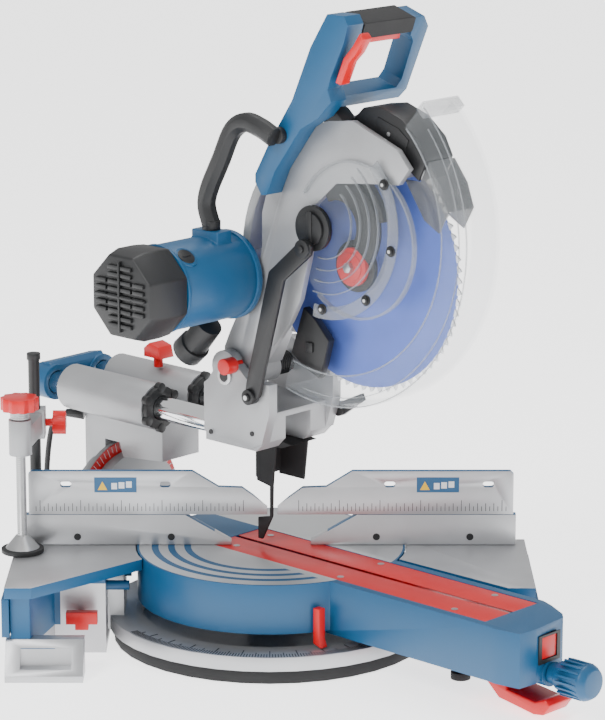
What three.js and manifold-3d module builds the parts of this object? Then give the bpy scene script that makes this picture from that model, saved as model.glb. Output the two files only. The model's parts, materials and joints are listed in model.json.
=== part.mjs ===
// A sliding compound mitre saw on its own base, in millimetres, +Z up.
// The origin is the mitre pivot on the bench, +X is the operator's right and +Y points away from the operator.
// Everything above the base is drawn in the saw's own frame: X along the mitre arm, Y across it (towards the
// right of the blade) and Z up. The `turned` group then swings that frame to the mitre angle at rest.
import * as THREE from "three";
import { mergeVertices } from "three/addons/utils/BufferGeometryUtils.js";
import Module from "manifold-3d";

// ---- driving dimensions ----
const MITRE_REST = 46.5; // degrees right of straight ahead
const TABLE_Z = 112.4; // work surface above the bench
const TURN_R = 165.2; // turntable radius
const TURN_Z = 51.6; // underside of the turntable's skirt
const RING_R = 201.5; // mitre scale ring
const RING_TOP = 34.7;
const RING_BOTTOM = 17.4;
const RUBBER_R = 195;
const WING_X = 314; // half the base's width
const WING_FRONT = -174;
const WING_BACK = 25;
const WING_T = 14; // depth of the wing's deck
const FENCE_X = 300;
const FENCE_SPLIT = 151.3; // where the sliding fence rests on the fixed one
const FENCE_TOP = 207;
const ARM_HALF = 58.5; // half the arm's width
const ARM_BOTTOM = 47;
const INSERT_HALF = 46.9;
const INSERT_T = 6;
const BLADE_R = 152.5;
const BLADE_T = 2.4;
const BLADE = [152.1, 487.9]; // blade axis (along the arm, up)
const CHOP = [-15, 336]; // chop pivot
const GUARD = [122, 535]; // lower guard pivot
const GUARD_R = 218;
const MOTOR = [-18, 460]; // motor axis
const MOTOR_R = 52;
const RAIL_N = 40; // rails lie this far each side of the blade
const RAIL_Z = 268;
const RAIL_R = 15;
const CORD_R = 3.6;
const COIL = [-400, 45]; // middle of the cord's coil (along the arm, across)
const COIL_R = 40; // middle of the coil's turns
const GAP = 0.4; // between pieces that touch

// ---- materials ----
const paint = (color, roughness, metalness = 0) => new THREE.MeshStandardMaterial({ color, roughness, metalness });
const BLUE = paint(0x1c5f8e, 0.45);
const CAST = paint(0xb4b7ba, 0.5, 0.6);
const BRIGHT = paint(0xc9cccd, 0.3, 0.9);
const CHROME = paint(0xd8dadc, 0.12, 1);
const BLACK = paint(0x1c1d1f, 0.55);
const RUBBER = paint(0x141414, 0.9);
const RED = paint(0xd8131a, 0.4);
const BLADE_BLUE = paint(0x5b74c8, 0.4, 0.4);
const STEEL = paint(0x8d9093, 0.35, 0.9);
const CLEAR = new THREE.MeshStandardMaterial({ color: 0xdfe8ec, roughness: 0.1, transparent: true, opacity: 0.35 });

// ---- solids ----
const wasm = await Module();
wasm.setup();

function toSolid(geometry) {
  const bare = geometry.index ? geometry.toNonIndexed() : geometry.clone();
  bare.deleteAttribute("normal");
  bare.deleteAttribute("uv");
  const merged = mergeVertices(bare, 1e-3);
  return new wasm.Manifold(
    new wasm.Mesh({
      numProp: 3,
      vertProperties: merged.attributes.position.array,
      triVerts: new Uint32Array(merged.index.array),
    }),
  );
}

function toGeometry(solid) {
  const mesh = solid.getMesh();
  const out = new THREE.BufferGeometry();
  const points = new Float32Array(mesh.numVert * 3);
  for (let i = 0; i < mesh.numVert; i++) {
    points.set(mesh.vertProperties.subarray(i * mesh.numProp, i * mesh.numProp + 3), i * 3);
  }
  out.setAttribute("position", new THREE.BufferAttribute(points, 3));
  out.setIndex(new THREE.BufferAttribute(new Uint32Array(mesh.triVerts), 1));
  return out;
}

const fuse = (...pieces) => toGeometry(pieces.map(toSolid).reduce((a, b) => a.add(b)));
const cut = (body, ...tools) => toGeometry(tools.map(toSolid).reduce((a, b) => a.subtract(b), toSolid(body)));

// ---- shapes ----
const outline = (points) => new THREE.Shape(points.map(([x, y]) => new THREE.Vector2(x, y)));

// a point at an angle in degrees round a centre, and the points of an arc
function polar(centre, radius, degrees) {
  const angle = THREE.MathUtils.degToRad(degrees);
  return [centre[0] + radius * Math.cos(angle), centre[1] + radius * Math.sin(angle)];
}
const arc = (centre, radius, from, to, steps) =>
  Array.from({ length: steps + 1 }, (_, i) => polar(centre, radius, from + ((to - from) * i) / steps));

const extrude = (points, depth) => new THREE.ExtrudeGeometry(outline(points), { depth, bevelEnabled: false });

// an outline seen from above, between two heights
const plan = (points, z0, z1) => extrude(points, z1 - z0).translate(0, 0, z0);

// an outline seen from the side (along the arm, up), between two places across the arm
const side = (points, n0, n1) => extrude(points, n1 - n0).rotateX(Math.PI / 2).translate(0, n1, 0);

// an outline seen from the front (across, up), between two places along the arm
const turnToFront = new THREE.Matrix4().makeBasis(
  new THREE.Vector3(0, 1, 0),
  new THREE.Vector3(0, 0, 1),
  new THREE.Vector3(1, 0, 0),
);
const front = (points, s0, s1) => extrude(points, s1 - s0).applyMatrix4(turnToFront).translate(s0, 0, 0);

const box = (x0, x1, y0, y1, z0, z1) =>
  new THREE.BoxGeometry(x1 - x0, y1 - y0, z1 - z0).translate((x0 + x1) / 2, (y0 + y1) / 2, (z0 + z1) / 2);

// a round bar, or a cone, between two points
function bar(from, to, radius, sides = 20, endRadius = radius) {
  const a = new THREE.Vector3(...from);
  const b = new THREE.Vector3(...to);
  const made = new THREE.CylinderGeometry(endRadius, radius, a.distanceTo(b), sides);
  const turn = new THREE.Quaternion().setFromUnitVectors(
    new THREE.Vector3(0, 1, 0),
    b.clone().sub(a).normalize(),
  );
  return made.applyQuaternion(turn).translate(...a.add(b).multiplyScalar(0.5).toArray());
}

const across = (centre, n0, n1, radius, sides) => bar([centre[0], n0, centre[1]], [centre[0], n1, centre[1]], radius, sides);
const upright = (x, y, z0, z1, radius, sides) => bar([x, y, z0], [x, y, z1], radius, sides);

// a star knob's outline with rounded lobes
function star(centre, radius, lobes, depth) {
  const count = lobes * 4;
  return Array.from({ length: count }, (_, i) => {
    const angle = (2 * Math.PI * i) / count;
    const r = radius + depth * Math.cos(lobes * angle);
    return [centre[0] + r * Math.cos(angle), centre[1] + r * Math.sin(angle)];
  });
}

// a bar of the same section along a smooth curve
function along(points, section, steps) {
  const path = new THREE.CatmullRomCurve3(points.map((p) => new THREE.Vector3(...p)), false, "centripetal");
  return new THREE.ExtrudeGeometry(outline(section), { steps, extrudePath: path, bevelEnabled: false });
}

// ---- scene graph ----
const saw = new THREE.Group();
const turned = new THREE.Group();
turned.rotation.z = THREE.MathUtils.degToRad(MITRE_REST - 90);
saw.add(turned);

function place(group, name, geometry, material) {
  const mesh = new THREE.Mesh(geometry, material);
  mesh.name = name;
  group.add(mesh);
}

// ---- base ----
const deckPoints = [
  [WING_X, WING_BACK],
  [WING_X, WING_FRONT],
  [282, WING_FRONT],
  [157, -59],
  [120, -10],
  [120, WING_BACK],
];
const legPoints = [
  [308, WING_BACK],
  [308, -165],
  [285, -165],
  [262, -80],
  [200, -80],
  [200, WING_BACK],
];
const legInside = [
  [303, WING_BACK - 5],
  [303, -160],
  [289, -160],
  [266, -75],
  [205, -75],
  [205, WING_BACK - 5],
];
const SLIDE_Y = [-60, -5]; // the two rods of each pull-out extension
const SLIDE_Z = 80;
const mirrored = (points, sign) => points.map(([x, y]) => [sign * x, y]);
const beside = (sign, x0, x1, ...rest) => box(Math.min(sign * x0, sign * x1), Math.max(sign * x0, sign * x1), ...rest);

const wing = (sign) => [
  plan(mirrored(deckPoints, sign), TABLE_Z - WING_T, TABLE_Z),
  plan(mirrored(legPoints, sign), 0, TABLE_Z - 2),
  beside(sign, 180, 210, -40, WING_BACK, RING_BOTTOM + 2, TABLE_Z - 2),
  beside(sign, 130, 210, -40, WING_BACK, RING_BOTTOM, RING_TOP - 4),
];
const wingHollow = (sign) => [
  plan(mirrored(legInside, sign), -10, TABLE_Z - WING_T),
  ...SLIDE_Y.map((y) => bar([sign * 160, y, SLIDE_Z], [sign * 330, y, SLIDE_Z], 6.6, 12)),
];

const ring = plan(arc([0, 0], RING_R, 0, 351, 39), RING_BOTTOM, RING_TOP);
const hub = upright(0, 0, 0, 46, 30, 24);
// the sloping front foot with its recess, under the wing
const footSlope = [
  [-191, 0],
  [-150, 0],
  [-150, 46],
  [-166, 46],
  [-191, 8],
];
const foot = cut(front(footSlope, -314, -221), box(-296, -235, -200, -172, 15, 38));
const base = cut(
  fuse(ring, hub, ...wing(-1), ...wing(1), foot),
  plan(arc([0, 0], TURN_R + 2, 0, 352.5, 47), RING_TOP - 0.5, 130),
  cut(
    plan(arc([0, 0], 160, 0, 350, 35), RING_BOTTOM + 6, 60),
    upright(0, 0, 0, 70, 30, 24),
  ),
  ...wingHollow(-1),
  ...wingHollow(1),
  upright(0, 0, 2.5, 60, 8.6, 16),
);
place(saw, "base_casting", base, BRIGHT);

place(
  saw,
  "base_rubber_ring",
  cut(plan(arc([0, 0], RUBBER_R, 0, 350, 35), 0, RING_BOTTOM - GAP), upright(0, 0, -5, 30, 165, 32)),
  RUBBER,
);

// pull-out table extensions, each an end plate on two rods, and the T-knobs that lock them
for (const [name, sign] of [["left", -1], ["right", 1]]) {
  const plate = beside(sign, 309, 318, -172, 10, 50, TABLE_Z - WING_T - 1);
  const rods = SLIDE_Y.map((y) => bar([sign * 172, y, SLIDE_Z], [sign * 312, y, SLIDE_Z], 6, 12));
  place(saw, `extension_${name}`, fuse(plate, ...rods), BLUE);
  const x = sign * 228;
  const stem = bar([x, -80.4, 47], [x, -91, 47], 5, 12);
  const grip = box(x - 19, x + 19, -102, -90.2, 36, 58);
  const corners = [-1, 1].map((k) => box(x + k * 16 - 8, x + k * 16 + 8, -110, -80, 30, 43));
  place(saw, `extension_knob_${name}`, fuse(stem, cut(grip, ...corners)), RED);
}

place(saw, "pivot_bolt", fuse(upright(0, 0, 4, 96, 8, 16), upright(0, 0, 3, 9, 8.4, 6)), STEEL);

// ---- fences ----
const lowerFence = [
  [FENCE_X + 1.5, TABLE_Z + 0.6],
  [FENCE_X + 1.5, FENCE_SPLIT],
  [106, FENCE_SPLIT],
  [49, 118],
  [49, TABLE_Z + 0.6],
];
const upperFence = (tip) => [
  [FENCE_X - 2, FENCE_SPLIT + GAP],
  [FENCE_X - 2, FENCE_TOP - 4],
  [FENCE_X - 6, FENCE_TOP],
  [tip + 92, FENCE_TOP],
  [tip + 60, 187],
  [tip + 31, 186],
  [tip, 163],
  [tip, FENCE_SPLIT + GAP],
];
// the back of each tip is cut away so that the blade clears it at every mitre angle
const tipRelief = [
  [-4, 0.5],
  [9, 0.5],
  [34, 14],
  [-4, 14],
];
// slotted holes for screwing on a wooden face
const SLOTS = { left: [-252, -130], right: [146, 267] };
for (const [name, sign, tip] of [["left", -1, 4.6], ["right", 1, 8]]) {
  const slots = SLOTS[name].flatMap((x) => [
    bar([x - 3.5, -1, 190], [x - 3.5, 10, 190], 3.5, 12),
    bar([x + 3.5, -1, 190], [x + 3.5, 10, 190], 3.5, 12),
    box(x - 3.5, x + 3.5, -1, 10, 186.5, 193.5),
  ]);
  const flange = beside(sign, 70, 301, 4, 24, TABLE_Z + 0.6, 120);
  place(saw, `lower_fence_${name}`, fuse(side(mirrored(lowerFence, sign), 0, 12), flange), CAST);
  place(
    saw,
    `upper_fence_${name}`,
    cut(side(mirrored(upperFence(tip), sign), 0, 7.5), plan(mirrored(tipRelief, sign), 100, 220), ...slots),
    CAST,
  );
}

// ---- work clamp behind the left fence ----
const ROD = [-292, 42];
const SPINDLE = [-304, -28];
place(
  saw,
  "clamp_rod",
  fuse(
    upright(...ROD, 30, 345, 7, 16),
    upright(...ROD, 338, 346, 8.5, 16),
    box(-306, -278, WING_BACK + GAP, 60, 30, 100),
  ),
  BLACK,
);
place(
  saw,
  "clamp_arm",
  cut(
    fuse(
      box(ROD[0] - 13, ROD[0] + 13, ROD[1] - 13, ROD[1] + 13, 240, 276),
      plan([[-303, 34], [-281, 34], [-290, -28], [-318, -28]], 246, 272),
      upright(...SPINDLE, 236, 280, 14, 20),
    ),
    upright(...ROD, 200, 300, 7.5, 16),
    upright(...SPINDLE, 200, 300, 6.6, 16),
  ),
  CAST,
);
place(
  saw,
  "clamp_star_knob",
  fuse(extrude(star([0, 0], 13, 6, 2.5), 16).translate(0, 0, 9), bar([0, 0, 0], [0, 0, 10], 5, 12))
    .applyMatrix4(new THREE.Matrix4().makeRotationY(Math.PI / 2))
    .translate(ROD[0] + 13 + GAP, ROD[1], 258),
  RED,
);
place(
  saw,
  "clamp_spindle",
  fuse(
    upright(...SPINDLE, 114, 294, 6, 16),
    upright(...SPINDLE, 112.8, 118, 26, 28),
    bar([...SPINDLE, 117], [...SPINDLE, 134], 22, 24, 8),
    extrude(star(SPINDLE, 22, 10, 1.5), 16).translate(0, 0, 292),
    upright(...SPINDLE, 281, 293, 12, 20),
  ),
  STEEL,
);

// ---- turntable ----
const noseOutline = [
  [60, -ARM_HALF],
  [402, -ARM_HALF],
  [412, -60],
  [444, -55],
  [446, -30],
  [441, 26],
  [432, 36],
  [402, 52],
  [385, ARM_HALF],
  [60, ARM_HALF],
];
const kerfSection = (half, top, depth) => [
  [-half, top],
  [-half - depth * 1.08, top - depth],
  [half + depth * 1.08, top - depth],
  [half, top],
];
const bevelAt = [0, TABLE_Z]; // bevel axis (across, up)
const scaleBand = [...arc(bevelAt, 90, 20, 160, 20), ...arc(bevelAt, 72, 160, 20, 20)];
const turntable = cut(
  fuse(
    plan(arc([0, 0], TURN_R, 0, 352.5, 47), TURN_Z, TABLE_Z),
    plan(noseOutline, ARM_BOTTOM, TABLE_Z),
    upright(0, 0, 47, 90, 30, 24),
    box(-262, -140, -52, 52, 52, 98),
    bar([414, 0, 54], [447, 0, 54], 17, 20),
    front(arc(bevelAt, 74, 0, 354, 29), -262, -240),
    front(scaleBand, -262, -256),
  ),
  cut(
    plan(arc([0, 0], TURN_R - 7, 0, 351, 39), 40, TABLE_Z - 12),
    upright(0, 0, 0, 120, 31, 24),
  ),
  box(120, 414, -ARM_HALF + 7, ARM_HALF - 7, 40, TABLE_Z - 12),
  box(-60.5, 386, -INSERT_HALF - 0.5, INSERT_HALF + 0.5, TABLE_Z - INSERT_T - GAP, 130),
  box(32, 378, -14, 14, 60, 120),
  box(-52, -32, -14, 14, 60, 120),
  box(-33, 33, -14, 14, 97, 120),
  upright(0, 0, 0, 98, 8.6, 16),
  bar([160, 0, 54], [460, 0, 54], 6.6, 16),
  box(434, 460, -22, 12, 70, 102),
  box(-238, -140, -44, 44, 40, 90),
  bar([-270, 0, TABLE_Z], [-230, 0, TABLE_Z], 10.6, 20),
);
place(turned, "turntable_casting", turntable, BLUE);

const insertBlank = (sign) =>
  plan(mirrored([[INSERT_HALF, -60], [INSERT_HALF, 385.5], [0.01, 385.5], [0.01, -60]], sign), 0, INSERT_T - GAP)
    .rotateZ(-Math.PI / 2)
    .translate(0, 0, TABLE_Z - INSERT_T);
for (const [name, sign] of [["left", 1], ["right", -1]]) {
  place(
    turned,
    `kerf_insert_${name}`,
    cut(insertBlank(sign), front(kerfSection(2.4, TABLE_Z + 0.1, 7), -70, 390)),
    RED,
  );
}

const pointerOutline = [
  [0, 40],
  [0, 84],
  [10, 84],
  [10, 46],
  [14, 36.5],
  [10, 36.5],
];
place(turned, "mitre_pointer", side(pointerOutline, -83, -73).translate(149.5, 0, 0), RED);

// the mitre lock: knob and the long rod that runs back under the table
place(
  turned,
  "mitre_knob",
  fuse(
    bar([170, 0, 54], [452, 0, 54], 6, 16),
    bar([448, 0, 54], [462, 0, 54], 13, 20),
    bar([460, 0, 54], [500, 0, 54], 17, 24, 22),
    bar([500, 0, 54], [508, 0, 54], 22, 24, 17),
  ),
  BLUE,
);
place(turned, "detent_button", box(438, 446, -18, 8, 73, 99), RED);
const detentOutline = [
  [345, 32],
  [350, 44],
  [392, 44],
  [398, 27],
  [440, 22],
  [455, 28],
  [462, 22],
  [452, 8],
  [438, 6],
  [386, 14],
  [368, 30],
];
place(turned, "detent_lever", side(detentOutline, -22, 22), RED);
place(turned, "arm_foot", fuse(upright(284, 30, 5, 92, 6, 14), upright(284, 30, 0, 9, 12, 20)), RUBBER);

// ---- bevel pivot ----
place(
  turned,
  "bevel_lever",
  fuse(
    bar([-310, 0, TABLE_Z], [-234, 0, TABLE_Z], 10, 20),
    bar([-316, 0, TABLE_Z], [-300.4, 0, TABLE_Z], 17, 20),
    bar([-310, 8, TABLE_Z + 8], [-324, 44, TABLE_Z + 46], 7, 12),
    new THREE.SphereGeometry(11, 14, 10).translate(-325, 46, TABLE_Z + 49),
  ),
  RED,
);

// ---- bevel arm ----
const columnSide = [
  [-300, 62],
  [-263, 62],
  [-263, 206],
  [-236, 206],
  [-230, 188],
  [-158, 195],
  [-158, 256],
  [-300, 256],
];
const eachRail = [-RAIL_N, RAIL_N];
const bevelArm = cut(
  fuse(
    side(columnSide, -32, 32),
    front(arc(bevelAt, 74, 0, 354, 29), -285, -262.5),
    ...eachRail.map((n) => bar([-312, n, RAIL_Z], [-158, n, RAIL_Z], 29, 28)),
    box(-312, -158, -RAIL_N, RAIL_N, 244, 262),
  ),
  ...eachRail.map((n) => bar([-330, n, RAIL_Z], [-140, n, RAIL_Z], 21, 24)),
  bar([-320, 0, TABLE_Z], [-250, 0, TABLE_Z], 10.6, 20),
);
place(turned, "bevel_arm_casting", bevelArm, CAST);
for (const [name, n] of [["near", -RAIL_N], ["far", RAIL_N]]) {
  const railWay = bar([-330, n, RAIL_Z], [-140, n, RAIL_Z], RAIL_R + 0.6, 20);
  place(turned, `rail_seal_${name}`, cut(bar([-158 + GAP, n, RAIL_Z], [-150, n, RAIL_Z], 27, 28), railWay), BLACK);
  place(turned, `rail_bearing_${name}`, cut(bar([-306, n, RAIL_Z], [-164, n, RAIL_Z], 20.4, 24), railWay), STEEL);
}
const slideKnob = [
  [-236, 311],
  [-206, 311],
  [-210, 326],
  [-226, 330],
  [-236, 322],
];
place(turned, "slide_lock_knob", fuse(bar([-222, 24, 297.6], [-222, 24, 312], 6, 14), side(slideKnob, 12, 36)), RED);

// ---- carriage ----
for (const [name, n] of [["near", -RAIL_N], ["far", RAIL_N]]) {
  const bore = bar([-380, n, RAIL_Z], [0, n, RAIL_Z], RAIL_R - 3, 16);
  place(turned, `rail_${name}`, cut(bar([-366, n, RAIL_Z], [10, n, RAIL_Z], RAIL_R, 20), bore), CHROME);
}
const yokeSection = [
  [-372, 250],
  [-346, 250],
  [-346, 288],
  [-352, 294],
  [-372, 290],
];
place(
  turned,
  "rear_yoke",
  cut(
    fuse(side(yokeSection, -46, 46), ...eachRail.map((n) => bar([-370, n, RAIL_Z], [-343, n, RAIL_Z], 23, 22))),
    ...eachRail.map((n) => bar([-366 - GAP, n, RAIL_Z], [-330, n, RAIL_Z], RAIL_R + GAP, 20)),
  ),
  BLUE,
);
const earPoints = [
  [-52, 262],
  [30, 254],
  [46, 262],
  [58, 300],
  [58, 336],
  [20, 338],
  ...arc([-17, 346], 21, 20, 200, 10),
  [-44, 328],
  [-52, 322],
];
const blockPoints = [
  [-52, 250],
  [34, 250],
  [46, 262],
  [46, 296],
  [-52, 300],
];
const carriage = cut(
  fuse(side(blockPoints, -60, 60), side(earPoints, -63, -49), side(earPoints, 49, 63)),
  ...eachRail.map((n) => bar([-60, n, RAIL_Z], [11, n, RAIL_Z], RAIL_R + GAP, 20)),
  across(CHOP, -80, 80, 8.5, 18),
  across([-2, 352], -80, -40, 5.6, 14),
  box(-60, 60, -22, 22, 240, 289),
);
place(turned, "carriage_casting", carriage, CAST);
place(turned, "chop_pin", fuse(across(CHOP, -66, 66, 8, 18), across(CHOP, 63.4, 68, 13, 18)), STEEL);
place(turned, "transport_pin", fuse(across([-2, 352], -70, -50, 5, 14), across([-2, 352], -80, -63.4, 10, 18)), RED);
const stopLever = [
  [50, 276],
  [58, 276],
  [92, 300],
  [88, 308],
  [50, 290],
];
place(turned, "depth_stop_lever", fuse(across([52, 283], 63.4, 74, 9, 16), side(stopLever, 66, 72)), BLACK);
const springProfile = [
  [9, 17.5],
  ...Array.from({ length: 9 }, (_, i) => [i % 2 ? 13 : 16, 19 + i * 3]),
  [9, 44.5],
  [9, 17.5],
];
place(
  turned,
  "return_spring",
  new THREE.LatheGeometry(springProfile.map(([r, h]) => new THREE.Vector2(r, h)), 20).translate(CHOP[0], 0, CHOP[1]),
  BLACK,
);
// chute: hood under the pivot, one long near flap and a short far one, joined by the back wall
const hoodOutline = [
  [-24, 240],
  [20, 240],
  [38, 247],
  [20, 249.5],
  [-24, 249.5],
];
const nearFlap = [
  [-24, 242],
  [-22, 192],
  [0, 188],
  [0, 150],
  [-20, 145],
  [-20, 118],
  [-13, 118],
  [4, 150],
  [5, 190],
  [10, 242],
];
const farFlap = [
  [-24, 242],
  [-24, 192],
  [18, 192],
  [24, 242],
];
const chute = fuse(
  side(hoodOutline, -2.4, 42),
  side(nearFlap, -2.4, 0.6),
  side(farFlap, 39, 42),
  box(-24, -21, -2.4, 42, 196, 242),
);
place(turned, "dust_chute", chute, RUBBER);

// ---- saw head ----
const faceOutline = [
  [-34, 367],
  [-25, 386],
  [-10, 414],
  [8, 440],
  [24, 470],
  [30, 500],
  [30, 540],
  [40, 572],
  [60, 606],
  [92, 648],
  [138, 662],
  [175, 666],
  [244, 640],
  [262, 620],
  [246, 600],
  [200, 596],
  [150, 590],
  [116, 560],
  [106, 496],
  [92, 443],
  [76, 414],
  [34, 360],
  [20, 344],
  ...arc(CHOP, 20, 20, -170, 8),
];
const rim = [...arc(BLADE, 162, 52, 204, 24), ...arc(BLADE, 150, 204, 52, 24)];
// the shell that runs down into the fork at the pivot
const forkShell = [
  [0, 450],
  [-10, 430],
  [-30, 380],
  [-31, 345],
  [4, 345],
  [30, 400],
  [36, 420],
  [30, 440],
];
const topCover = [
  [160, 646],
  [160, 668],
  [176, 676],
  [222, 672],
  [258, 648],
  [270, 626],
  [266, 606],
  [236, 618],
  ...arc(BLADE, 160, 62, 84, 5),
];
// the belt's run round the motor's pulley and the blade's, grown outwards
const BELT_TILT = THREE.MathUtils.radToDeg(Math.atan2(BLADE[1] - MOTOR[1], BLADE[0] - MOTOR[0]));
const beltRun = (extra) => [
  ...arc(MOTOR, 30 + extra, BELT_TILT + 90, BELT_TILT + 270, 12),
  ...arc(BLADE, 30 + extra, BELT_TILT - 90, BELT_TILT + 90, 12),
];
const upperGuard = cut(
  fuse(
    side(faceOutline, -45, -37),
    side(rim, -38, 16),
    side(forkShell, -38, 16),
    side(beltRun(8), 10, 16),
    across(CHOP, -46, 16, 18, 24),
    across(MOTOR, -49, 16, 36, 26),
    side(topCover, -26, 16),
  ),
  across(BLADE, -10, 10, 157, 48),
  across(CHOP, -60, 30, 8.6, 18),
  across(MOTOR, -60, 30, 8, 16),
  across(BLADE, -60, 30, 11, 18),
  across(BLADE, -60, -9, 31, 24),
);
place(turned, "upper_guard", upperGuard, CAST);

// clear window beside the blade
const windowOutline = [[112, 566], ...arc([182, 528], 92, 150, -128, 18), [112, 470]];
place(turned, "guard_window", side(windowOutline, -50, -45.4), CLEAR);

// belt cover on the right side, with the belt that carries the drive round behind the blade
place(turned, "belt_cover", cut(side(beltRun(8), 16.5, 50), side(beltRun(3), 10, 46)), BLACK);
place(turned, "drive_belt", cut(side(beltRun(0), 24, 40), side(beltRun(-3), 20, 44)), RUBBER);

// ---- motor ----
place(
  turned,
  "motor_housing",
  cut(
    fuse(across(MOTOR, -172, -49.4, MOTOR_R, 32), box(-36, 8, -98, -74, 500, 519.6)),
    across(MOTOR, -180, -56, MOTOR_R - 5, 28),
    across(MOTOR, -60, -40, 9, 16),
  ),
  BLUE,
);
const capFlutes = [-1, 0, 1].map((i) =>
  box(MOTOR[0] - 34, MOTOR[0] + 34, -240, -226, MOTOR[1] + i * 22 - 3, MOTOR[1] + i * 22 + 3),
);
place(
  turned,
  "motor_end_cap",
  cut(
    fuse(
      bar([MOTOR[0], -222, MOTOR[1]], [MOTOR[0], -172.4, MOTOR[1]], MOTOR_R - 2, 32, MOTOR_R + 1),
      bar([MOTOR[0], -230, MOTOR[1]], [MOTOR[0], -221, MOTOR[1]], MOTOR_R - 8, 32, MOTOR_R - 2),
    ),
    across(MOTOR, -220, -160, MOTOR_R - 6, 28),
    ...capFlutes,
  ),
  BLACK,
);
place(
  turned,
  "dust_elbow",
  fuse(bar([-33, -72, 399], [-58, -72, 370], 17, 20), bar([-57, -72, 371], [-72, -72, 358], 20, 20)),
  BLACK,
);

// armature, its pulley, and the blade on its arbor
place(
  turned,
  "armature",
  fuse(
    across(MOTOR, -212, 34, 7.5, 16),
    across(MOTOR, -160, -100, 34, 24),
    across(MOTOR, -190, -172, 20, 20),
    across(MOTOR, 24.5, 39.5, 26.4, 24),
  ),
  STEEL,
);
const TEETH = 30;
const bladeEdge = Array.from({ length: TEETH }, (_, i) => [
  polar(BLADE, BLADE_R, (360 * i) / TEETH),
  polar(BLADE, BLADE_R - 7, (360 * (i + 0.82)) / TEETH),
]).flat();
place(
  turned,
  "blade",
  fuse(
    side(bladeEdge, -BLADE_T / 2, BLADE_T / 2),
    across(BLADE, -14, 34, 10, 24),
    across(BLADE, 3, 9, 26, 24),
    across(BLADE, 1, 4, 14, 24),
    across(BLADE, -8, -1.1, 26, 24),
    across(BLADE, 24.5, 39.5, 26.4, 24),
  ),
  BLADE_BLUE,
);
place(turned, "arbor_bolt", fuse(across(BLADE, -30, -14.4, 9, 6), across(BLADE, -21, -14.4, 15, 24)), RED);

// ---- lower guard and its link ----
const guardBand = (outer, inner, from, to, n0, n1) =>
  side([...arc(GUARD, outer, from, to, 26), ...arc(GUARD, inner, to, from, 26)], n0, n1);
place(
  turned,
  "lower_guard",
  fuse(
    guardBand(GUARD_R, GUARD_R - 3, -108, 47, -32, 24),
    guardBand(GUARD_R - 1, 178, -108, 47, -32, -29.5),
    guardBand(GUARD_R - 1, 178, -108, 47, 21.5, 24),
    side([...arc(GUARD, GUARD_R + 3, 44, 47, 1), ...arc(GUARD, GUARD_R - 4, 47, 44, 1)], -34, 26),
  ),
  CLEAR,
);
const linkPoints = [
  [26, 322],
  [28, 316],
  [40, 313],
  [49, 322],
  [90, 470],
  [133, 506],
  [134, 518],
  [122, 524],
  [112, 518],
  [66, 478],
  [28, 336],
];
place(turned, "guard_link", side(linkPoints, -72, -66), BLACK);

// ---- handles ----
const handleArm = [
  [45, 592],
  [45, 582],
  [55, 568],
  [63, 569],
  [77, 599],
  [94, 622],
  [118, 653],
  [146, 669],
  [166, 690],
  [160, 706],
  [186, 760],
  [192, 780],
  [186, 790],
  [160, 790],
  [134, 750],
  [105, 686],
  [67, 630],
];
const loopOutside = [
  [-72, 0],
  [60, 0],
  [70, 10],
  [78, 90],
  [66, 104],
  [-60, 104],
  [-72, 94],
];
const loopInside = [
  [-50, 14],
  [50, 14],
  [56, 24],
  [58, 72],
  [52, 80],
  [-44, 80],
  [-50, 74],
];
// the D of the handle is drawn upright and then leaned forward about its lower edge
const lean = new THREE.Matrix4()
  .makeTranslation(138, 0, 684)
  .multiply(new THREE.Matrix4().makeRotationY(THREE.MathUtils.degToRad(19)));
const loop = cut(front(loopOutside, -15, 15), front(loopInside, -30, 30), box(-30, 30, -40, 50, 70, 120));
place(turned, "handle_shell", fuse(side(handleArm, -72, -45.4), loop.applyMatrix4(lean)), BLUE);
const gripSection = [
  [-39.6, 89],
  [-39.6, 104],
  [-36, 106],
  [46, 106],
  [49.6, 104],
  [49.6, 89],
  [46, 86],
  [-36, 86],
];
place(turned, "grip", front(gripSection, -17, 17).applyMatrix4(lean), RUBBER);
place(turned, "trigger", box(-8, 8, -30, 40, 75, 81.6).applyMatrix4(lean), RED);
const lockoffOutline = [
  [170, 712],
  [183, 742],
  [197, 757],
  [208, 773],
  [214, 766],
  [203, 749],
  [191, 737],
  [179, 710],
];
place(turned, "lockoff_lever", side(lockoffOutline, -70, -54), RED);
const octagon = (radius) => arc([0, 0], radius, 22.5, 337.5, 7);
const carryRun = [
  [-14, 524],
  [-22, 552],
  [4, 608],
  [24, 644],
  [44, 655],
  [68, 651],
  [90, 642],
];
place(
  turned,
  "carry_handle",
  along(carryRun.map(([s, z]) => [s, -86, z]), octagon(12), 36),
  BLACK,
);

// ---- power cord ----
place(turned, "strain_relief", bar([-305.4, -29, 231], [-325, -42, 231], 8, 12, 5), BLACK);
const cordRun = [
  [-329, -45, 230],
  [-338, -50, 222],
  [-346, -51, 200],
  [-352, -52, 160],
  [-355, -52, 110],
  [-357, -50, 60],
  [-362, -44, 26],
  [-368, -36, 9],
  [-376, -22, 5],
  [-381.8, -4, 5],
];
place(turned, "cord_tube", along(cordRun, octagon(CORD_R), 56), BLACK);
const coilProfile = [
  [COIL_R - 11, 4],
  [COIL_R - 7, 0.2],
  [COIL_R + 7, 0.2],
  [COIL_R + 11, 4],
  [COIL_R + 11, 25],
  [COIL_R + 7, 29],
  [COIL_R - 7, 29],
  [COIL_R - 11, 25],
  [COIL_R - 11, 4],
];
place(
  turned,
  "cord_coil",
  new THREE.LatheGeometry(coilProfile.map(([r, h]) => new THREE.Vector2(r, h)), 40)
    .rotateX(Math.PI / 2)
    .translate(COIL[0], COIL[1], 0),
  BLACK,
);
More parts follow.
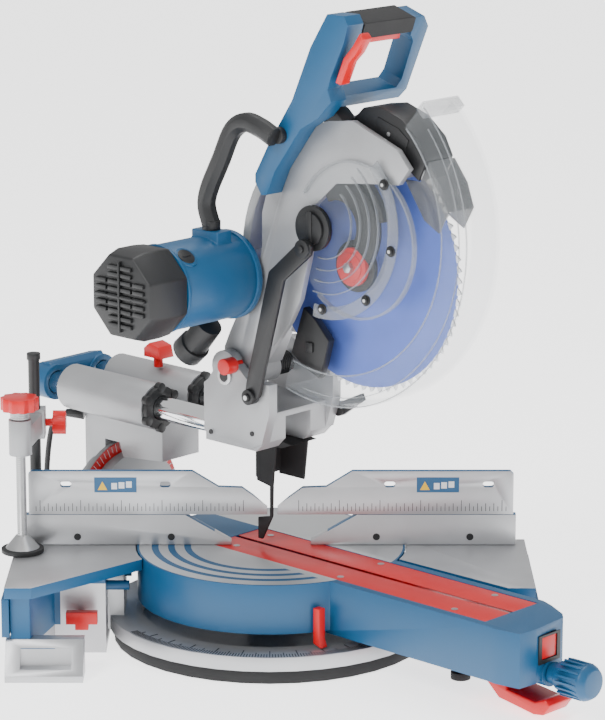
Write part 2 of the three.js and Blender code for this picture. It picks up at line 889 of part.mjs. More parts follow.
place(
  turned,
  "plug",
  fuse(
    bar([-344, 74, 14], [-339, 102, 14], 13, 20, 11),
    bar([-339.4, 100, 18], [-335.6, 121, 18], 2.2, 10),
    bar([-339.4, 100, 9], [-335.6, 121, 9], 2.2, 10),
  ),
  BLACK,
);

export default saw;
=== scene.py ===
"""Sliding compound mitre saw: its finishes, rounded castings, scales, cord and small fittings."""

import json
import math

import bmesh
import bpy
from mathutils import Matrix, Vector


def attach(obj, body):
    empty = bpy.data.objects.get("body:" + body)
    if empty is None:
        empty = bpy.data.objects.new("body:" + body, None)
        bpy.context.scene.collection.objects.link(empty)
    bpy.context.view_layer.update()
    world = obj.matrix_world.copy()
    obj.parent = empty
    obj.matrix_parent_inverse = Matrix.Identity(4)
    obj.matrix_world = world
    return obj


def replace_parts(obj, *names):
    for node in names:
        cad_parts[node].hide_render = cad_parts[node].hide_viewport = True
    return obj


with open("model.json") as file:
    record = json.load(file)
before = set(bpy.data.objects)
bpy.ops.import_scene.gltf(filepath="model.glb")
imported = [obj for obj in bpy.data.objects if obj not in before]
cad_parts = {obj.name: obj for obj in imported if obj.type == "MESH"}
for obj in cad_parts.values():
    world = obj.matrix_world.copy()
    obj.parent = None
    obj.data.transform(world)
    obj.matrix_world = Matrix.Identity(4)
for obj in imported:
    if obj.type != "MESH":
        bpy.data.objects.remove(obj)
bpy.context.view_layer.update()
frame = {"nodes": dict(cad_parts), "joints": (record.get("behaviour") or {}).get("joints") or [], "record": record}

# ---- places, from the frame ----
MM = 0.001
joint = {j["name"]: j for j in frame["joints"]}
body_of_node = {
    node: body
    for body, nodes in frame["record"]["behaviour"]["bodies"].items()
    for node in nodes
}
slot_of_node = {s["node"]: s["material_slot"] for s in frame["record"]["subparts"]}
UP = Vector((0, 0, 1))
ACROSS = Vector(joint["armature_spin"]["axis"]).normalized()  # to the blade's right
ALONG = ACROSS.cross(UP)  # out along the mitre arm
TABLE_Z = joint["bevel"]["pos_m"][2]
BLADE_AT = Vector(joint["blade_spin"]["pos_m"])
MOTOR_AT = Vector(joint["armature_spin"]["pos_m"])
CHOP_AT = Vector(joint["chop"]["pos_m"])


def saw(s, n, z):
    """A point in the saw's own frame, in millimetres: along the arm, across it, up."""
    return (ALONG * s + ACROSS * n + UP * z) * MM


def room(x, y, z):
    return Vector((x, y, z)) * MM


# ---- camera, light and floor ----
def set_camera():
    camera = bpy.data.objects.new("camera", bpy.data.cameras.new("camera"))
    bpy.context.scene.collection.objects.link(camera)
    camera.data.lens = 160
    camera.data.sensor_width = 36
    camera.data.clip_end = 50
    camera.location = (0.0387, -3.7826, 1.2623)
    aim = Vector((0.0387, 0, 0.3472)) - camera.location
    camera.rotation_euler = aim.to_track_quat("-Z", "Y").to_euler()
    bpy.context.scene.camera = camera


def area_light(name, place, target, size, power):
    light = bpy.data.objects.new(name, bpy.data.lights.new(name, "AREA"))
    bpy.context.scene.collection.objects.link(light)
    light.data.size = size
    light.data.energy = power
    light.location = place
    light.rotation_euler = (Vector(target) - Vector(place)).to_track_quat("-Z", "Y").to_euler()


def set_studio():
    world = bpy.data.worlds.new("studio")
    bpy.context.scene.world = world
    world.use_nodes = True
    world.node_tree.nodes["Background"].inputs["Color"].default_value = (1, 1, 1, 1)
    world.node_tree.nodes["Background"].inputs["Strength"].default_value = 0.72
    area_light("key", (-1.7, -2.2, 2.5), (0, 0, 0.35), 1.0, 62)
    area_light("fill", (2.4, -1.8, 1.5), (0, 0, 0.35), 1.2, 14)
    area_light("top", (0.1, 0.5, 2.9), (0, 0, 0.3), 1.5, 40)


# ---- shader expressions ----
class Wire:
    """A shader socket that Python expressions can work on."""

    def __init__(self, finish, socket):
        self.finish = finish
        self.socket = socket

    def _math(self, operation, *values):
        return self.finish.node("Math", {"operation": operation}, dict(enumerate(values)))

    def __add__(self, other):
        return self._math("ADD", self, other)

    __radd__ = __add__

    def __sub__(self, other):
        return self._math("SUBTRACT", self, other)

    def __rsub__(self, other):
        return self._math("SUBTRACT", other, self)

    def __mul__(self, other):
        return self._math("MULTIPLY", self, other)

    __rmul__ = __mul__

    def __truediv__(self, other):
        return self._math("DIVIDE", self, other)

    def __pow__(self, other):
        return self._math("POWER", self, other)

    def __gt__(self, other):
        return self._math("GREATER_THAN", self, other)

    def __lt__(self, other):
        return self._math("LESS_THAN", self, other)

    def __abs__(self):
        return self._math("ABSOLUTE", self)

    def wave(self):
        return self._math("SINE", self)

    def root(self):
        return self._math("SQRT", self)


class Finish:
    """A procedural material on a Principled shader."""

    def __init__(self, name, roughness, metallic=0.0, **constants):
        self.material = bpy.data.materials.new(name)
        self.material.use_nodes = True
        self.tree = self.material.node_tree
        self.shader = self.tree.nodes["Principled BSDF"]
        self.shader.inputs["Roughness"].default_value = roughness
        self.shader.inputs["Metallic"].default_value = metallic
        for socket, value in constants.items():
            self.shader.inputs[socket.replace("_", " ")].default_value = value

    def node(self, kind, settings, sockets, output=0):
        made = self.tree.nodes.new("ShaderNode" + kind)
        for key, value in settings.items():
            setattr(made, key, value)
        for key, value in sockets.items():
            if isinstance(value, Wire):
                self.tree.links.new(value.socket, made.inputs[key])
            else:
                made.inputs[key].default_value = value
        return Wire(self, made.outputs[output])

    def place(self, stretch=(1, 1, 1)):
        at = self.node("TexCoord", {}, {}, "Object")
        return self.node("VectorMath", {"operation": "MULTIPLY"}, {0: at, 1: stretch})

    def xyz(self):
        at = self.place()
        return [self.node("SeparateXYZ", {}, {0: at}, i) for i in range(3)]

    def facing(self):
        """The surface's own direction, part by part."""
        way = self.node("TexCoord", {}, {}, "Normal")
        return [self.node("SeparateXYZ", {}, {0: way}, i) for i in range(3)]

    def arm_coordinates(self):
        """Places along the arm, across it and up, in metres."""
        x, y, z = self.xyz()
        return x * ALONG.x + y * ALONG.y, x * ACROSS.x + y * ACROSS.y, z

    def noise(self, scale, detail=3, stretch=(1, 1, 1)):
        sockets = {"Vector": self.place(stretch), "Scale": scale, "Detail": detail}
        return self.node("TexNoise", {}, sockets)

    def grains(self, scale):
        sockets = {"Vector": self.place(), "Scale": scale}
        return self.node("TexVoronoi", {}, sockets)

    def mix(self, mask, low, high):
        sockets = {0: mask, 6: low, 7: high}
        return self.node("Mix", {"data_type": "RGBA"}, sockets, 2)

    def feed(self, socket, value):
        self.tree.links.new(value.socket, self.shader.inputs[socket])

    def bump(self, height, distance, strength=0.5):
        sockets = {"Height": height, "Distance": distance, "Strength": strength}
        self.feed("Normal", self.node("Bump", {}, sockets, "Normal"))


def shade(color, k):
    return tuple(min(1, c * k) for c in color) + (1,)


def tinted(finish, color, spread=0.12, scale=22):
    """The colour with a slow drift in it, as moulded and painted surfaces have."""
    drift = finish.noise(scale, 4)
    finish.feed("Base Color", finish.mix(drift, shade(color, 1 - spread), shade(color, 1 + spread)))
    return drift


# ---- finishes ----
SAW_BLUE = (0.004, 0.075, 0.18)
SIGNAL_RED = (0.62, 0.001, 0.003)
CASTING_GREY = (0.36, 0.365, 0.375)
BLADE_BLUE = (0.09, 0.15, 0.5)
SOOT = (0.009, 0.0095, 0.0105)


def grey_casting():
    f = Finish("grey_casting", 0.42, 0.45)
    drift = tinted(f, CASTING_GREY, 0.1)
    f.feed("Roughness", 0.34 + 0.16 * drift)
    f.bump(f.noise(650, 4) + 0.6 * f.grains(420), 0.00022)
    return f.material


def machined_aluminium():
    """Bare ground faces, with blue paint on the fences' top edges and the wings' front edges."""
    f = Finish("machined_aluminium", 0.34)
    x, y, z = f.xyz()
    side_z = f.facing()[2]
    fence_edge = (side_z > 0.5) * (z > 0.13)
    wing_edge = (side_z < 0.4) * (y < -0.004) * (z > 0.088) * (z < TABLE_Z - 0.0004)
    leg = (side_z < 0.4) * (abs(x) > 0.255) * (z > 0.036) * (z < 0.0881) * (y < -0.06)
    painted = fence_edge + wing_edge + leg
    drift = f.noise(14, 4)
    bare = f.mix(drift, (0.4, 0.405, 0.415, 1), (0.58, 0.585, 0.6, 1))
    f.feed("Base Color", f.mix(painted, bare, shade(SAW_BLUE, 1.1)))
    f.feed("Metallic", 0.75 - 0.75 * painted)
    lines = f.noise(60, 2, (1, 40, 40))
    f.feed("Roughness", 0.28 + 0.14 * drift + 0.08 * lines)
    f.bump(lines + 0.5 * f.noise(900, 3), 0.00009)
    return f.material


def blue_plastic():
    f = Finish("blue_plastic", 0.4, 0.0, Specular_IOR_Level=0.5)
    drift = tinted(f, SAW_BLUE, 0.1)
    f.feed("Roughness", 0.36 + 0.12 * drift)
    f.bump(f.grains(1300) + 0.4 * f.noise(500, 2), 0.00009, 0.35)
    return f.material


def turntable_paint():
    """Satin blue paint, with the machined top of the round table and its three painted arcs."""
    f = Finish("turntable_paint", 0.38)
    s, n, z = f.arm_coordinates()
    radius = (s * s + n * n).root()
    top = (z > TABLE_Z - 0.0006) * (radius < 0.1625) * (abs(n) > 0.0475)
    arcs = (radius > 0.098) * (((radius - 0.098) * 314.16).wave() > 0.25) * (radius < 0.152)
    arcs = arcs * (n < -0.0585)
    bracket = s < -0.236
    bare = top * (1 - arcs)
    drift = f.noise(18, 4)
    paint = f.mix(drift, shade(SAW_BLUE, 0.92), shade(SAW_BLUE, 1.12))
    paint = f.mix(bracket, paint, shade(CASTING_GREY, 0.8))
    f.feed("Base Color", f.mix(bare, paint, (0.6, 0.61, 0.62, 1)))
    f.feed("Metallic", bare * 0.8 + bracket * 0.45)
    f.feed("Roughness", 0.36 + 0.1 * drift)
    f.bump(f.grains(900) + f.noise(300, 3), 0.00012, 0.35)
    return f.material


def black_plastic():
    f = Finish("black_plastic", 0.45)
    drift = tinted(f, SOOT, 0.2)
    f.feed("Roughness", 0.4 + 0.16 * drift)
    f.bump(f.grains(1100), 0.0001, 0.4)
    return f.material


def soft_rubber():
    f = Finish("soft_rubber", 0.75)
    drift = tinted(f, (0.012, 0.012, 0.013), 0.25, 40)
    f.feed("Roughness", 0.66 + 0.2 * drift)
    f.bump(f.noise(900, 4), 0.00016)
    return f.material


def red_plastic():
    f = Finish("red_plastic", 0.32, 0.0, Coat_Roughness=0.15)
    drift = tinted(f, SIGNAL_RED, 0.1)
    f.feed("Roughness", 0.28 + 0.14 * drift)
    f.bump(f.noise(420, 3), 0.00006, 0.3)
    return f.material


def rail_chrome():
    f = Finish("rail_chrome", 0.09, 1.0)
    drift = tinted(f, (0.86, 0.87, 0.88), 0.04, 9)
    f.feed("Roughness", 0.06 + 0.07 * f.noise(200, 2, (1, 1, 12)) + 0.02 * drift)
    return f.material


def turned_steel():
    f = Finish("turned_steel", 0.3, 0.95)
    drift = tinted(f, (0.5, 0.505, 0.51), 0.1)
    f.feed("Roughness", 0.24 + 0.16 * drift)
    f.bump(f.noise(120, 2, (4, 4, 60)), 0.00005)
    return f.material


def coated_blade():
    """A blue low-friction coat, bare at the ground teeth, with fine turned rings."""
    f = Finish("coated_blade", 0.36, 0.3)
    s, n, z = f.arm_coordinates()
    centre = BLADE_AT.dot(ALONG)
    ds = s - centre
    dz = z - BLADE_AT.z
    radius = (ds * ds + dz * dz).root()
    teeth = radius > 0.1465
    rings = (radius * 9000).wave()
    drift = f.noise(30, 4)
    coat = f.mix(drift, shade(BLADE_BLUE, 0.9), shade(BLADE_BLUE, 1.15))
    f.feed("Base Color", f.mix(teeth, coat, (0.7, 0.71, 0.74, 1)))
    f.feed("Metallic", 0.25 + 0.7 * teeth)
    f.feed("Roughness", 0.36 - 0.08 * teeth + 0.05 * drift)
    f.bump(rings * 0.4 + drift, 0.00004, 0.3)
    return f.material


def clear_polycarbonate():
    f = Finish("clear_polycarbonate", 0.06, 0.0, Specular_IOR_Level=0.6)
    drift = tinted(f, (0.5, 0.54, 0.57), 0.06, 12)
    rim = f.node("LayerWeight", {}, {"Blend": 0.3}, "Facing")
    scuffs = f.noise(70, 5, (1, 1, 3)) ** 4
    f.feed("Alpha", 0.05 + 0.5 * rim**3 + 0.06 * scuffs)
    f.feed("Roughness", 0.04 + 0.16 * drift * scuffs)
    return f.material


def clear_rib():
    """The thicker ribs and lips of the clear guards, which catch more light."""
    f = Finish("clear_rib", 0.1, 0.0, Specular_IOR_Level=0.8)
    drift = tinted(f, (0.26, 0.28, 0.3), 0.15, 30)
    f.feed("Alpha", 0.26 + 0.2 * drift)
    f.feed("Roughness", 0.08 + 0.1 * drift)
    return f.material


def smoked_shield():
    f = Finish("smoked_shield", 0.12, 0.0)
    drift = tinted(f, (0.1, 0.105, 0.11), 0.1, 30)
    f.feed("Alpha", 0.62 + 0.1 * drift)
    f.feed("Roughness", 0.1 + 0.1 * drift)
    return f.material


def clamp_screw():
    """Steel thread and cup, a black pad and a red moulded knob."""
    f = Finish("clamp_screw", 0.3)
    x, y, z = f.xyz()
    knob = z > 0.2905
    pad = z < 0.1185
    drift = f.noise(60, 3)
    steel = f.mix(drift, (0.42, 0.425, 0.43, 1), (0.56, 0.565, 0.57, 1))
    f.feed("Base Color", f.mix(pad, f.mix(knob, steel, shade(SIGNAL_RED, 1)), shade(SOOT, 1)))
    f.feed("Metallic", 0.9 - 0.9 * (knob + pad))
    f.feed("Roughness", 0.26 + 0.12 * drift + 0.3 * pad)
    thread = ((z * 2500).wave() * (z > 0.135)) * (z < 0.2905)
    f.bump(thread, 0.0003, 0.6)
    return f.material


def cord_rubber():
    f = Finish("cord_rubber", 0.5)
    drift = tinted(f, (0.014, 0.014, 0.015), 0.2, 60)
    f.feed("Roughness", 0.45 + 0.15 * drift)
    f.bump(f.noise(1500, 2), 0.00008)
    return f.material


def plain_print(name, color):
    f = Finish(name, 0.5)
    drift = tinted(f, color, 0.06, 60)
    f.feed("Roughness", 0.42 + 0.12 * drift)
    return f.material


def floor_paper():
    f = Finish("floor_paper", 0.8, 0.0, Emission_Color=(1, 1, 1, 1), Emission_Strength=2.0)
    drift = tinted(f, (0.93, 0.93, 0.93), 0.008, 3)
    f.feed("Roughness", 0.75 + 0.1 * drift)
    return f.material


FINISH = {
    "base_metal": machined_aluminium(),
    "grey_casting": grey_casting(),
    "blue_shell": turntable_paint(),
    "blue_plastic": blue_plastic(),
    "black_plastic": black_plastic(),
    "soft_rubber": soft_rubber(),
    "red_plastic": red_plastic(),
    "rail_chrome": rail_chrome(),
    "plain_steel": turned_steel(),
    "blade_steel": coated_blade(),
    "clear_shield": clear_polycarbonate(),
    "cord_cover": cord_rubber(),
}
SCALE_INK = plain_print("scale_ink", (0.02, 0.02, 0.025))
LABEL_BLUE = plain_print("label_blue", (0.02, 0.1, 0.22))
LABEL_YELLOW = plain_print("label_yellow", (0.8, 0.5, 0.02))
LABEL_WHITE = plain_print("label_white", (0.75, 0.77, 0.8))
CLEAR_RIB = clear_rib()
SMOKED = smoked_shield()
CLAMP_SCREW = clamp_screw()
NODE_FINISH = {"clamp_spindle": CLAMP_SCREW, "rear_yoke": blue_plastic()}


# ---- mesh work ----
def add_piece(name, mesh, body, slot, material=None, smooth=40):
    piece = bpy.data.objects.new(name, mesh)
    bpy.context.scene.collection.objects.link(piece)
    mesh.materials.clear()
    mesh.materials.append(material or FINISH[slot])
    mesh.shade_smooth()
    mesh.set_sharp_from_angle(angle=math.radians(smooth))
    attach(piece, body)
    return piece


def finish_mesh(name, bm):
    mesh = bpy.data.meshes.new(name)
    bmesh.ops.recalc_face_normals(bm, faces=bm.faces)
    bm.to_mesh(mesh)
    bm.free()
    return mesh


def rounded(node, width, segments=2):
    """The CAD node with its sharp edges rounded over, standing for it."""
    bm = bmesh.new()
    bm.from_mesh(frame["nodes"][node].data)
    bmesh.ops.remove_doubles(bm, verts=bm.verts, dist=0.00001)
    bmesh.ops.dissolve_limit(bm, angle_limit=math.radians(1.5), verts=bm.verts, edges=bm.edges)
    sharp = [
        e
        for e in bm.edges
        if len(e.link_faces) == 2
        and e.calc_face_angle(0) > math.radians(28)
        and e.calc_length() > 2.2 * width
    ]
    bmesh.ops.bevel(
        bm,
        geom=sharp,
        offset=width,
        segments=segments,
        profile=0.5,
        affect="EDGES",
        clamp_overlap=True,
    )
    look = NODE_FINISH.get(node)
    mesh = finish_mesh(node, bm)
    piece = add_piece(node + "_rounded", mesh, body_of_node[node], slot_of_node[node], look)
    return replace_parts(piece, node)


def slab(bm, outline, place, low, high):
    """An outline pushed between two depths. place(x, y, depth) gives each point."""
    floor = [bm.verts.new(place(x, y, low)) for x, y in outline]
    roof = [bm.verts.new(place(x, y, high)) for x, y in outline]
    bm.faces.new(floor)
    bm.faces.new(roof)
    count = len(outline)
    for i in range(count):
        k = (i + 1) % count
        bm.faces.new((floor[i], floor[k], roof[k], roof[i]))


def circle(x, y, radius, sides=20, start=0.0):
    turn = 2 * math.pi / sides
    return [
        (x + radius * math.cos(start + turn * i), y + radius * math.sin(start + turn * i))
        for i in range(sides)
    ]


def block(x0, x1, y0, y1):
    return [(x0, y0), (x1, y0), (x1, y1), (x0, y1)]


def on_side(s, z, n):
    return saw(s, n, z)


def on_front(x, z, y):
    return room(x, y, z)


def on_table(s, n, z):
    return saw(s, n, z)


def helix(centre, axis, start, radius, pitch, turns, steps):
    side = axis.orthogonal().normalized()
    other = axis.cross(side)
    return [
        centre
        + axis * (start + pitch * i / steps)
        + (side * math.cos(2 * math.pi * i / steps) + other * math.sin(2 * math.pi * i / steps)) * radius
        for i in range(int(turns * steps) + 1)
    ]


def tube_curve(name, points, radius, body, slot):
    curve = bpy.data.curves.new(name, "CURVE")
    curve.dimensions = "3D"
    curve.bevel_depth = radius
    curve.bevel_resolution = 3
    curve.use_fill_caps = True
    spline = curve.splines.new("POLY")
    spline.points.add(len(points) - 1)
    for target, p in zip(spline.points, points):
        target.co = (*p, 1)
    spline.use_smooth = True
    piece = bpy.data.objects.new(name, curve)
    bpy.context.scene.collection.objects.link(piece)
    curve.materials.append(FINISH[slot])
    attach(piece, body)
    return piece


# ---- power cord ----
CORD_D = 7.2
COIL_S, COIL_N, COIL_R = -400, 45, 40


def smooth_route(points, steps):
    """A centripetal curve through given points."""
    route = []
    ends = [points[0] * 2 - points[1]] + points + [points[-1] * 2 - points[-2]]
    for a, b, c, d in zip(ends, ends[1:], ends[2:], ends[3:]):
        for i in range(steps):
            t = i / steps
            bend = (2 * a - 5 * b + 4 * c - d) * t**2
            twist = (3 * b - a - 3 * c + d) * t**3
            route.append(0.5 * (2 * b + (c - a) * t + bend + twist))
    return route + [points[-1]]


def build_cord():
    """Down from the strain relief, four layers of three turns, and out to the plug."""
    hand = [
        (-329, -45, 230),
        (-338, -50, 222),
        (-346, -51, 200),
        (-352, -52, 160),
        (-355, -52, 110),
        (-357, -50, 60),
        (-362, -44, 26),
        (-368, -36, 9),
        (-376, -22, 5),
        (-381.8, -4, 5),
    ]
    route = smooth_route([saw(*p) for p in hand], 8)
    reach_s, reach_n = hand[-1][0] - COIL_S, hand[-1][1] - COIL_N
    angle = math.atan2(reach_n, reach_s)
    radius, height = math.hypot(reach_s, reach_n), hand[-1][2]
    outward = [COIL_R - 7.4, COIL_R, COIL_R + 7.4]
    inward = outward[::-1]
    steps = 28
    for layer, ring in enumerate([inward, outward, inward, outward]):
        for target in ring:
            rise = 5 + 7.4 * layer
            for i in range(1, steps + 1):
                blend = min(1, i / 10)
                blend = blend * blend * (3 - 2 * blend)
                r = radius + (target - radius) * blend
                z = height + (rise - height) * blend
                a = angle + 2 * math.pi * i / steps
                route.append(saw(COIL_S + r * math.cos(a), COIL_N + r * math.sin(a), z))
            radius, height = target, rise
    # round to the side that the plug lies on
    for i in range(1, 8):
        a = angle + math.radians(8.5 * i)
        drop = height - 0.9 * i
        route.append(saw(COIL_S + radius * math.cos(a), COIL_N + radius * math.sin(a), drop))
    tail = [route[-1]] + [saw(*p) for p in ((-350, 50, 17.5), (-346.6, 61, 15), (-344.4, 72, 14))]
    route += smooth_route(tail, 5)[1:]
    length = sum((b - a).length for a, b in zip(route, route[1:]))
    flex = tube_curve("power_cord", route, CORD_D / 2 * MM, "turntable", "cord_cover")
    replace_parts(flex, "cord_tube", "cord_coil")
    return flex, route, length


set_camera()
set_studio()
flex, cord_route, cord_length = build_cord()

# ---- rounded castings and mouldings ----
SMALL = 0.5 * MM
MEDIUM = 0.9 * MM
LARGE = 1.6 * MM
edge_of = {
    "handle_shell": 3.0 * MM,
    "grip": 3.5 * MM,
    "upper_guard": LARGE,
    "motor_housing": LARGE,
    "motor_end_cap": LARGE,
    "belt_cover": 2.4 * MM,
    "mitre_knob": LARGE,
    "carriage_casting": LARGE,
    "bevel_arm_casting": LARGE,
    "rear_yoke": LARGE,
    "turntable_casting": LARGE,
    "base_casting": MEDIUM,
    "guard_link": LARGE,
    "lockoff_lever": 2 * MM,
    "detent_lever": 2 * MM,
}
own_look = {"cord_tube", "cord_coil", "return_spring", "blade", "arbor_bolt", "motor_end_cap"}
for node in frame["nodes"]:
    if node not in own_look:
        rounded(node, edge_of.get(node, SMALL))


# ---- blade ----
def build_blade():
    """The plate with its fine teeth, and the arbor, flanges and pulley on it."""
    bm = bmesh.new()
    s0 = BLADE_AT.dot(ALONG) / MM
    z0 = BLADE_AT.z / MM
    radius, teeth, gullet = 152.5, 72, 6.0
    outline = []
    tooth = (
        (0.0, radius),
        (0.22, radius - 1.6),
        (0.5, radius - gullet),
        (0.78, radius - gullet),
        (0.9, radius - 2.4),
    )
    for i in range(teeth):
        for share, r in tooth:
            a = 2 * math.pi * (i + share) / teeth
            outline.append((s0 + r * math.cos(a), z0 + r * math.sin(a)))
    slab(bm, outline, on_side, -1.1, 1.1)
    arbor, outer_flange, inner_flange = (-14, 34, 10, 32), (3, 9, 26, 48), (-8, -1.2, 26, 48)
    pulley = (24.5, 39.5, 26.4, 48)
    for low, high, r, sides in (arbor, outer_flange, inner_flange, pulley):
        slab(bm, circle(s0, z0, r, sides), on_side, low, high)
    piece = add_piece("saw_blade", finish_mesh("saw_blade", bm), "blade", "blade_steel", smooth=30)
    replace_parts(piece, "blade")


def build_return_spring():
    points = helix(CHOP_AT, ACROSS, 0.019, 0.0132, 0.0033, 7.2, 20)
    spring = tube_curve("return_spring_coil", points, 0.0013, "carriage", "black_plastic")
    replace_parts(spring, "return_spring")


# ---- scales and labels ----
def build_fence_scales():
    for name, sign in (("left", -1), ("right", 1)):
        bm = bmesh.new()
        for i in range(52):
            x = sign * (34 + 5 * i)
            tall = 14 if i % 10 == 0 else 10 if i % 2 == 0 else 6
            slab(bm, block(x - 0.35, x + 0.35, 156, 156 + tall), on_front, -0.15, 0.05)
        body = "upper_fence_" + name
        add_piece("fence_scale_" + name, finish_mesh("ticks", bm), body, "base_metal", SCALE_INK)
        low_x = -217 if sign < 0 else 179
        plate = bmesh.new()
        slab(plate, block(low_x, low_x + 52, 180, 199), on_front, -0.4, 0.05)
        add_piece("fence_label_" + name, finish_mesh("plate", plate), body, "blue_plastic", LABEL_BLUE)
        mark = bmesh.new()
        slab(mark, [(low_x + 4, 183), (low_x + 16, 183), (low_x + 10, 194)], on_front, -0.6, -0.35)
        mark_mesh = finish_mesh("mark", mark)
        add_piece("fence_label_mark_" + name, mark_mesh, body, "blue_plastic", LABEL_YELLOW)
        sketch = bmesh.new()
        for k in range(3):
            x = low_x + 21 + k * 9
            slab(sketch, block(x, x + 7, 184 + k, 192 + k), on_front, -0.6, -0.35)
        sketch_mesh = finish_mesh("sketch", sketch)
        add_piece("fence_label_sketch_" + name, sketch_mesh, body, "blue_plastic", LABEL_WHITE)
        # Flat black discs for the recessed fence bolts: partly the bolts, partly painted shade in their holes.
        bolts = bmesh.new()
        for x in ((-238.6, -123) if sign < 0 else (129.7, 245)):
            slab(bolts, circle(x, 123, 4.4, 24), on_front, -0.5, 0.05)
        add_piece("fence_bolt_and_hole_shade_" + name, finish_mesh("bolts", bolts), "base", "black_plastic")


def build_ring_scale():
    ring_top = 34.7
    bm = bmesh.new()
    for degree in range(-58, 59):
        a = math.radians(degree - 90)
        long_tick = 22 if degree % 10 == 0 else 15 if degree % 5 == 0 else 10
        radial = Vector((math.cos(a), math.sin(a), 0))
        side = Vector((-radial.y, radial.x, 0))

        def at(x, y, depth, radial=radial, side=side):
            return (radial * x + side * y) * MM + UP * depth * MM

        slab(bm, block(199 - long_tick, 199, -0.5, 0.5), at, ring_top - 0.05, ring_top + 0.5)
    add_piece("mitre_scale_ticks", finish_mesh("ticks", bm), "base", "base_metal", SCALE_INK)


def build_insert_screws():
    for k, (s, n) in enumerate([(-30, -30), (150, -36), (150, 36), (330, -36), (330, 36), (-30, 30)]):
        bm = bmesh.new()
        slab(bm, circle(s, n, 4.2, 24), on_table, 111.8, 112.5)
        slab(bm, circle(s, n, 2.2, 6), on_table, 112.45, 112.7)
        add_piece(f"insert_screw_{k}", finish_mesh("screw", bm), "turntable", "plain_steel")


# ---- head ----
def band(outer, inner, centre, start, end, count=40):
    """A part of a ring, as one outline."""
    cs, cz = centre
    turn = [math.radians(start + (end - start) * i / count) for i in range(count + 1)]
    rim = [(cs + outer * math.cos(a), cz + outer * math.sin(a)) for a in turn]
    return rim + [(cs + inner * math.cos(a), cz + inner * math.sin(a)) for a in reversed(turn)]


def softened(bm, width, segments=2):
    """The mesh's sharp edges rounded over, in millimetres."""
    sharp = [e for e in bm.edges if len(e.link_faces) == 2 and e.calc_face_angle(0) > 0.5]
    bmesh.ops.bevel(
        bm,
        geom=sharp,
        offset=width * MM,
        segments=segments,
        profile=0.5,
        affect="EDGES",
        clamp_overlap=True,
    )


def part(name, body, slot, pieces, material=None, soft=0.0):
    """One piece made of several slabs: (outline, place, low, high)."""
    bm = bmesh.new()
    for outline, place, low, high in pieces:
        slab(bm, outline, place, low, high)
    if soft:
        bmesh.ops.recalc_face_normals(bm, faces=bm.faces)
        softened(bm, soft)
    return add_piece(name, finish_mesh(name, bm), body, slot, material)


def local(point):
    return point.dot(ALONG) / MM, point.z / MM


blade_s, blade_z = local(BLADE_AT)
motor_s, motor_z = local(MOTOR_AT)
chop_s, chop_z = local(CHOP_AT)
guard_s, guard_z = local(Vector(joint["guard_swing"]["pos_m"]))
WINDOW_AT = (135, 545)


def build_arbor():
    washer = part(
        "arbor_bolt_head",
        "blade",
        "red_plastic",
        [
            (circle(blade_s, blade_z, 23, 40), on_side, -22, -15.5),
            (circle(blade_s, blade_z, 17, 40), on_side, -24, -21),
        ],
        soft=0.8,
    )
    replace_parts(washer, "arbor_bolt")
    nut = circle(blade_s, blade_z, 6.5, 6)
    part("arbor_hex", "blade", "plain_steel", [(nut, on_side, -30, -23.5)], soft=0.5)
    flange = circle(blade_s, blade_z, 31, 40)
    part("arbor_flange", "blade", "black_plastic", [(flange, on_side, -15, -8.5)], soft=0.8)


def build_window():
    """The clear window's screwed flange and ribs, the guard's hub and the dark plate behind it."""
    ring = [(band(117, 101, WINDOW_AT, -98, 44), on_side, -52, -50.2)]
    part("window_flange", "head", "clear_shield", ring, CLEAR_RIB, 0.5)
    ribs = [(band(r + 1.4, r, WINDOW_AT, -100, 52), on_side, -53, -50.2) for r in (44, 58, 72, 86)]
    part("window_ribs", "head", "clear_shield", ribs, CLEAR_RIB)
    edge = band(93.4, 90.6, (182, 528), -128, 150)
    part("window_edge", "head", "clear_shield", [(edge, on_side, -50.6, -44.8)], CLEAR_RIB)
    for k, (s, z) in enumerate([(231, 600), (242, 524), (204, 461), (135, 440)]):
        washer = (circle(s, z, 6.5, 28), on_side, -53.5, -51.5)
        screw = (circle(s, z, 4.6, 28), on_side, -56, -53)
        socket = (circle(s, z, 2.2, 6), on_side, -56.4, -55.8)
        part(f"window_screw_{k}", "head", "black_plastic", [washer, screw], soft=0.5)
        part(f"window_screw_socket_{k}", "head", "plain_steel", [socket])
    hub = [
        (circle(guard_s, guard_z, 27, 44), on_side, -57, -50.4),
        (circle(guard_s, guard_z, 19, 36), on_side, -61, -56),
        (block(guard_s - 4, guard_s + 4, guard_z - 21, guard_z + 21), on_side, -62.5, -60),
    ]
    part("guard_hub", "head", "black_plastic", hub, soft=1.0)
    back = [
        (band(62, 30, (150, 540), -38, 118), on_side, -44, -34),
        (band(70, 60, (150, 540), 10, 80), on_side, -40, -30),
    ]
    part("guard_hub_back", "head", "black_plastic", back, soft=1.0)


